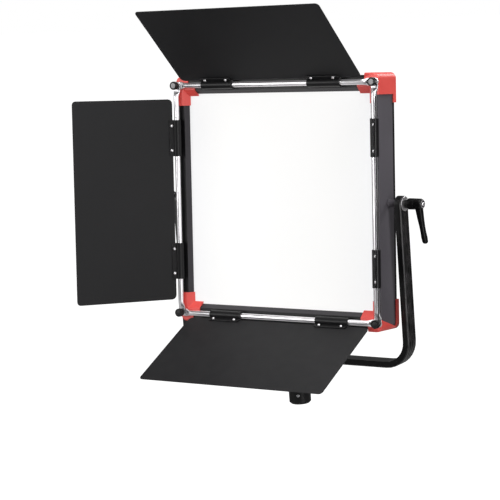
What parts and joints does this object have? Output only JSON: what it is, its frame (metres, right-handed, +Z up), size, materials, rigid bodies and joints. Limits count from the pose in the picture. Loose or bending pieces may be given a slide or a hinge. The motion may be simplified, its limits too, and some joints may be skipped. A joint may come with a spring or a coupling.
{
  "type": "led panel light",
  "caption": "Square soft LED panel on a grooved U-shaped yoke with a stand socket, with four hinged barn-door leaves clipped to chromed rods and moulded corner guards.",
  "frame": {"origin": "centre of the stand socket mouth, under the yoke", "axes": "+Z up along the socket, the light faces -Y, +X to the right as seen from the front and along the tilt axis"},
  "size_m": [0.5125, 0.2407, 0.5945],
  "materials": {
    "frame_black": "fine satin black powder coat",
    "leaf_black": "matt black textured coat",
    "rail_grey": "satin dark grey coat",
    "guard_red": "moulded red plastic",
    "diffuser_white": "opal diffuser sheet",
    "chrome": "polished chrome plate",
    "steel": "zinc plated steel",
    "aluminium": "natural aluminium",
    "black_plastic": "textured black plastic",
    "board": "coated circuit board",
    "window": "dark glossy window",
    "brass": "plated contacts",
    "chrome_washer": "polished washer"
  },
  "bodies": {
    "base": {"yoke": "frame_black", "stand_socket": "frame_black", "socket_bolt": "steel", "tilt_hub": "black_plastic", "pivot_washer_left": "chrome_washer", "pivot_washer_right": "chrome_washer"},
    "socket_lock": {"socket_knob": "black_plastic"},
    "lever": {"tilt_lever": "black_plastic"},
    "left_clamp": {"left_tilt_knob": "black_plastic"},
    "head": {"battery_contacts": "brass", "battery_plate": "black_plastic", "control_board": "board", "control_housing": "black_plastic", "corner_guard_bottom_left": "guard_red", "corner_guard_bottom_right": "guard_red", "corner_guard_top_left": "guard_red", "corner_guard_top_right": "guard_red", "data_socket_in": "steel", "data_socket_out": "steel", "diffuser": "diffuser_white", "display_window": "window", "driver_board": "board", "heat_sink": "aluminium", "led_board": "board", "pivot_boss_left": "rail_grey", "pivot_boss_right": "rail_grey", "power_inlet": "black_plastic", "rail_bottom": "frame_black", "rail_left": "rail_grey", "rail_right": "rail_grey", "rail_top": "frame_black", "rear_cover": "frame_black", "rod_bottom": "chrome", "rod_left": "chrome", "rod_right": "chrome", "rod_top": "chrome"},
    "brightness_dial": {"brightness_knob": "black_plastic"},
    "colour_dial": {"colour_knob": "black_plastic"},
    "menu_key": {"menu_button": "black_plastic"},
    "mode_key": {"mode_button": "black_plastic"},
    "rocker": {"power_switch": "black_plastic"},
    "release_key": {"battery_release": "guard_red"},
    "screw_top_left": {"thumbscrew_top_left": "black_plastic"},
    "screw_top_right": {"thumbscrew_top_right": "black_plastic"},
    "screw_bottom_left": {"thumbscrew_bottom_left": "black_plastic"},
    "screw_bottom_right": {"thumbscrew_bottom_right": "black_plastic"},
    "barn_door_top": {"leaf_top": "leaf_black", "clip_top_a": "leaf_black", "clip_top_b": "leaf_black"},
    "barn_door_bottom": {"leaf_bottom": "leaf_black", "clip_bottom_a": "leaf_black", "clip_bottom_b": "leaf_black"},
    "barn_door_left": {"leaf_left": "leaf_black", "clip_left_a": "leaf_black", "clip_left_b": "leaf_black"},
    "barn_door_right": {"leaf_right": "leaf_black", "clip_right_a": "leaf_black", "clip_right_b": "leaf_black"}
  },
  "joints": [
    {"name": "head_tilt", "type": "hinge", "parent": "base", "child": "head", "pos_m": [0, 0, 0.303], "axis": [-1, 0, 0], "range_deg": [-19, 80]},
    {"name": "leaf_top_hinge", "type": "hinge", "parent": "head", "child": "barn_door_top", "pos_m": [0, -0.01658, 0.47737], "axis": [-1, 0, 0], "range_deg": [-131.3, 48.7]},
    {"name": "leaf_bottom_hinge", "type": "hinge", "parent": "head", "child": "barn_door_bottom", "pos_m": [0, -0.04893, 0.13891], "axis": [1, 0, 0], "range_deg": [-119.6, 60.4]},
    {"name": "leaf_left_hinge", "type": "hinge", "parent": "head", "child": "barn_door_left", "pos_m": [-0.17, -0.03276, 0.30814], "axis": [0, -0.0952, -0.9955], "range_deg": [-121.5, 58.5]},
    {"name": "leaf_right_hinge", "type": "hinge", "parent": "head", "child": "barn_door_right", "pos_m": [0.17, -0.03276, 0.30814], "axis": [0, 0.0952, 0.9955], "range_deg": [-120.3, 59.7]},
    {"name": "tilt_lever_turn", "type": "hinge", "parent": "base", "child": "lever", "pos_m": [0, 0, 0.303], "axis": [1, 0, 0], "range_deg": [-45, 45]},
    {"name": "left_knob_turn", "type": "hinge", "parent": "base", "child": "left_clamp", "pos_m": [0, 0, 0.303], "axis": [-1, 0, 0], "continuous": true},
    {"name": "socket_knob_turn", "type": "hinge", "parent": "base", "child": "socket_lock", "pos_m": [0, 0.03, 0.026], "axis": [0, 1, 0], "continuous": true},
    {"name": "thumbscrew_top_left_turn", "type": "hinge", "parent": "head", "child": "screw_top_left", "pos_m": [-0.17, -0.01658, 0.47737], "axis": [0, -0.9955, 0.0952], "continuous": true},
    {"name": "thumbscrew_top_right_turn", "type": "hinge", "parent": "head", "child": "screw_top_right", "pos_m": [0.17, -0.01658, 0.47737], "axis": [0, -0.9955, 0.0952], "continuous": true},
    {"name": "thumbscrew_bottom_left_turn", "type": "hinge", "parent": "head", "child": "screw_bottom_left", "pos_m": [-0.17, -0.04893, 0.13891], "axis": [0, -0.9955, 0.0952], "continuous": true},
    {"name": "thumbscrew_bottom_right_turn", "type": "hinge", "parent": "head", "child": "screw_bottom_right", "pos_m": [0.17, -0.04893, 0.13891], "axis": [0, -0.9955, 0.0952], "continuous": true},
    {"name": "brightness_turn", "type": "hinge", "parent": "head", "child": "brightness_dial", "pos_m": [0.015, 0.03547, 0.20116], "axis": [0, 0.9955, -0.0952], "continuous": true},
    {"name": "colour_turn", "type": "hinge", "parent": "head", "child": "colour_dial", "pos_m": [0.06, 0.03547, 0.20116], "axis": [0, 0.9955, -0.0952], "continuous": true},
    {"name": "menu_press", "type": "slide", "parent": "head", "child": "menu_key", "axis": [0, -0.9955, 0.0952], "range_m": [0, 0.001], "stiffness_N_per_m": 300, "springref_m": -0.001},
    {"name": "mode_press", "type": "slide", "parent": "head", "child": "mode_key", "axis": [0, -0.9955, 0.0952], "range_m": [0, 0.001], "stiffness_N_per_m": 300, "springref_m": -0.001},
    {"name": "battery_release_press", "type": "slide", "parent": "head", "child": "release_key", "axis": [0, -0.9955, 0.0952], "range_m": [0, 0.0022], "stiffness_N_per_m": 400, "springref_m": -0.0015},
    {"name": "power_rock", "type": "hinge", "parent": "head", "child": "rocker", "pos_m": [0.06, 0.03143, 0.1694], "axis": [-1, 0, 0], "range_deg": [0, 14]}
  ]
}
